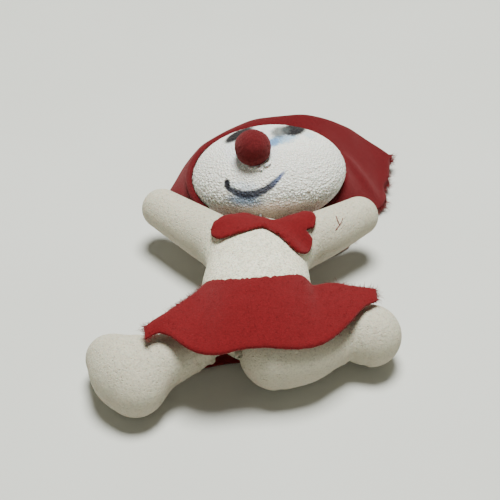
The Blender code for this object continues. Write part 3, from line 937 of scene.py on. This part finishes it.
def make_bow():
    """The bow, let down onto the chest and stiff enough to bridge the throat."""
    points, faces = outline_sheet(BOW_OUTLINE, 0.55)
    edges = edges_of(faces)

    def chest(spots):
        return np.minimum(body_field(spots), head_field(spots) + 0.2)

    points = dropped(points, body_field, FELT / 2 + LYING_GAP, 15.0)
    for _ in range(3):
        level = relax(points, edges, 8)
        points[:, 2] = np.maximum(points[:, 2], level[:, 2])
    points[:, 2] = relax(points, edges, 6)[:, 2]
    points[:, 2] += 0.25 * waves(points, 6.0, 1.5) + 0.25
    points = clear_of(points, chest, FELT / 2 + LYING_GAP)
    points = ragged(points, faces, lambda p: 0.05)
    bow = felt_piece("felt_bow_tie", points, faces, ["bow_tie"], "torso")
    edge = edge_fibres("bow_edge_fibres", points, faces, lambda p: 2.2, lambda p: 0.55, 0.03, FUZZ, "torso")
    fuzz = surface_fibres("bow_fuzz", points, faces, 350, 0.9, FUZZ, "torso")
    return bow


def make_skirt_front():
    """The front skirt: straight from waist to hem, then swelled and laid over the body and thighs."""
    top, hem = smooth_rows(SKIRT_TOP, SKIRT_COLUMNS), smooth_rows(SKIRT_HEM, SKIRT_COLUMNS)
    share = np.linspace(0, 1, SKIRT_ROWS)[:, None, None]
    grid = hem * share + top * (1 - share)
    across = np.linspace(-1, 1, len(top))
    swell = np.sin(np.pi * share[:, :, 0]) * (1 - across ** 2)
    grid[:, :, 2] += 1.1 * swell
    grid[:, :, 2] += 0.5 * np.sin(across * 9 + 1.0) * share[:, :, 0] ** 2 * (1 - across ** 4)
    points = grid.reshape(-1, 3)
    faces = [tuple(reversed(f)) for f in grid_faces(SKIRT_ROWS, len(top))]
    edges = edges_of(faces)
    row, column, rim = grid_places(SKIRT_ROWS, len(top))
    room = FELT / 2 + LYING_GAP
    points = clear_of(points, all_foam, room + 0.1)
    points = relax(points, edges, 12, 0.5, held=rim)
    points = clear_of(points, all_foam, room)
    points[:, 2] += 0.12 * waves(points, 3.5, 4.0)
    waist_roughness = np.where((row == 0) & (np.abs(points[:, 0]) < 12), 0.16, 0.05)
    points[rim, 1] += (CHANCE.normal(size=len(points)) * waist_roughness)[rim]
    skirt = felt_piece("felt_skirt_front", points, faces, ["skirt_front"], "torso")

    def tips(p):
        return sum(near(p, tip, reach) for tip, reach in SKIRT_TIPS)

    def amount(p):
        side = 1.0 if p[0] < -12 and p[1] > -1.4 * p[0] - 62 and p[1] > -41 else 0.0
        wing = 1.0 if p[0] > 22 and p[1] > -24.5 else 0.0
        return 2.0 + 18 * tips(p) + 32 * side + 16 * wing

    def length(p):
        return 0.5 + 0.5 * tips(p) + (0.7 if p[0] < -12 or p[0] > 22 else 0.0)

    edge = edge_fibres("skirt_edge_fibres", points, faces, amount, length, 0.05, FUZZ, "torso")
    fuzz = surface_fibres("skirt_fuzz", points, faces, 1500, 1.0, FUZZ, "torso")
    return skirt


def make_skirt_back():
    """The back skirt, flat on the table under the figure."""
    points, faces = outline_sheet(SKIRT_BACK, 0.8)
    points[:, 2] = FLAT_Z
    points = ragged(points, faces, lambda p: 0.08)
    back = felt_piece("felt_skirt_back", points, faces, ["skirt_back"], "torso")
    edge = edge_fibres("back_edge_fibres", points, faces, lambda p: 1.5, lambda p: 0.7, 0.035, FUZZ, "torso")
    return back


def make_hood():
    """One felt: flat under the head, up behind it, turned over at the crown, flared at the figure's left."""
    top = smooth_rows(HOOD_TOP, HOOD_COLUMNS)
    bottom = smooth_rows([(*b, FLAT_Z) for b in HOOD_BOTTOM], HOOD_COLUMNS)
    across = np.linspace(0, 1, len(top))
    flare = np.clip((across - 0.5) / 0.5, 0, 1)
    flare = flare * flare * (3 - 2 * flare)
    middle = np.array((*HEAD_CENTRE[:2], FLAT_Z))
    inset = (0.09 + 0.2 * flare)[:, None]
    foot = top * (1 - inset) + middle * inset
    foot[:, 2] = FLAT_Z
    foot += (HOOD_CUT_FOOT - foot) * (flare ** 2)[:, None]
    wall = (foot + top) / 2
    wall[:, :2] += (top[:, :2] - middle[:2]) * (0.045 * (1 - flare))[:, None]
    inner = smooth_rows(HOOD_INNER, HOOD_COLUMNS)
    inner = settle(inner, lambda spots: head_field(spots) - HOOD_LIP_ROOM, 4)
    over = (top + inner) / 2
    over[:, 2] += 0.9 * (1 - flare) - 0.6 * flare
    over += (HOOD_CUT_MIDDLE - over) * (flare ** 3)[:, None]
    stations = [bottom, bottom * 0.5 + foot * 0.5, foot, wall, top, over, inner]
    columns = [smooth_rows(np.array([s[k] for s in stations]), HOOD_ROWS) for k in range(len(top))]
    profile = np.stack(columns, axis=1)
    rows = profile.shape[0]
    points = profile.reshape(-1, 3)
    points[:, 2] = np.maximum(points[:, 2], FLAT_Z)
    faces = grid_faces(rows, len(top))
    edges = edges_of(faces)
    row, column, rim = grid_places(rows, len(top))
    room = np.where(row > rows - 4, HOOD_LIP_ROOM, FELT / 2 + LYING_GAP)
    points = clear_of(points, head_field, room)
    points = relax(points, edges, 10, 0.5, held=rim)
    risen = np.clip((points[:, 2] - 2) / 6, 0, 1)
    points += (risen * 0.35 * waves(points, 7.0, 9.0))[:, None] * normals_of(points, faces)
    upper = row > 4 * HOOD_ROWS
    cut = upper * np.clip((column - len(top) + 7) / 6, 0, 1)
    points[:, 0] -= 2.2 * cut * np.exp(-((points[:, 1] - HOOD_NOTCH_Y) / 1.6) ** 2)
    fold_x, fold_y = HOOD_FOLD_START
    across_fold = (points[:, 0] - fold_x + points[:, 1] - fold_y) * 0.707
    along_fold = (points[:, 0] - fold_x - points[:, 1] + fold_y) * 0.707
    fold = np.exp(-(across_fold / 2.2) ** 2) * np.clip(along_fold / 5, 0, 1)
    fold = fold * np.clip((20 - along_fold) / 5, 0, 1)
    points[:, 2] += 1.2 * upper * fold
    points = clear_of(points, head_field, room)
    lowest = np.where(row > 5 * HOOD_ROWS, 1.9, FLAT_Z)
    points[:, 2] = np.maximum(points[:, 2], lowest)
    points = ragged(points, faces, lambda p: 0.05 + (0.6 if p[0] > 34 and p[1] < 56 else 0.0))
    hood = felt_piece("felt_hood", points, faces, ["hood"], "head", HOOD_SHADED_FELT)

    def cut_side(p):
        return 1.0 if p[0] > 30 and p[1] < 56.5 else 0.0

    edge = edge_fibres("hood_edge_fibres", points, faces, lambda p: 1.0 + 12.0 * cut_side(p),
                       lambda p: 0.6 + 1.6 * cut_side(p), 0.06, FUZZ, "head")
    fuzz = surface_fibres("hood_fuzz", points, faces, 2200, 1.0, FUZZ, "head")
    return hood


def make_loose_fibre():
    """A red wool fibre, forked, caught on the figure's left arm."""
    roots, steps = [], []
    for stations in FIBRE_LINES:
        line = smooth_rows(stations, 6)
        line = settle(line, lambda spots: body_field(spots) - 0.12, 4)
        roots.append(line[:-1])
        steps.append(np.diff(line, axis=0))
    roots, steps = np.vstack(roots), np.vstack(steps)
    lengths = np.linalg.norm(steps, axis=1)
    fibre = strand_mesh("loose_fibre", roots, steps / lengths[:, None], lengths * 1.4, 0.16, FUZZ, curl=0.0)
    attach(fibre, "arm_left")


def make_nose():
    """A felted ball, pressed flat where it is glued on."""
    unit, faces = ball(6)
    points = unit * NOSE_RADIUS
    press = np.clip(-(points @ NOSE_AWAY) - 3.4, 0, 5)
    points += NOSE_AWAY * (0.75 * press)[:, None]
    points += unit * (0.16 * waves(points, 2.6, 5.0) + 0.09 * waves(points, 0.7, 2.0))[:, None]
    points += NOSE_CENTRE
    nose = mesh_object("felted_nose", points, faces, NOSE_LOOK)
    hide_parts("nose_ball")
    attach(nose, "head")
    surface_fibres("nose_fuzz", points, faces, 900, 0.55, NOSE_LOOK, "head", half=0.0,
                   width=0.022)


# angle about the nose, reach from its middle and size of each flake
FLAKES = ((-104, 3.9, 0.9), (-88, 3.7, 0.7), (-76, 4.4, 1.15), (-60, 4.1, 0.8), (-47, 4.8, 0.95),
          (-33, 4.3, 0.5), (-140, 3.6, 0.5))


def make_glue():
    """A lumpy bead of dried glue under the nose, with flakes standing out below it."""
    away = NOSE_AWAY
    side = np.cross((0, 1, 0), away)
    side /= np.linalg.norm(side)
    up = np.cross(away, side)
    base = NOSE_CENTRE - away * (NOSE_RADIUS - 1.1)
    unit, unit_faces = ball(4)
    spread = 1 + 0.16 * waves(unit, 0.45, 3.0)
    points = [base + (unit[:, :1] * side + unit[:, 1:2] * up) * 3.9 * spread[:, None] - away * 0.9
              + unit[:, 2:] * away * 0.55]
    faces = list(unit_faces)
    flake, flake_faces = ball(3)
    for degrees, reach, size in FLAKES:
        angle = math.radians(degrees)
        out = side * math.cos(angle) + up * math.sin(angle)
        across = np.cross(away, out)
        start = sum(len(p) for p in points)
        lumps = 1 + 0.75 * waves(flake + degrees, 0.55, 1.0)
        shape = flake * lumps[:, None]
        spot = clear_of(np.array([base + out * (reach + 0.6)]), head_field, CHANCE.uniform(0.15, 0.6), 6)[0]
        points.append(spot + (shape[:, :1] * out * 0.75 + shape[:, 1:2] * across * 1.15) * size
                      + shape[:, 2:] * (away * 0.22 + out * 0.1) * size)
        faces += [tuple(i + start for i in f) for f in flake_faces]
    glue = mesh_object("glue_flakes", np.vstack(points), faces, GLUE)
    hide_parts("nose_glue")
    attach(glue, "head")


for make in (make_body, make_legs, make_head, make_nose, make_loose_fibre, make_glue, make_hood, make_bow,
             make_skirt_front, make_skirt_back):
    make()

for name, item in frame["nodes"].items():
    if "wire" in name:
        item.data.materials.clear()
        item.data.materials.append(WIRE)
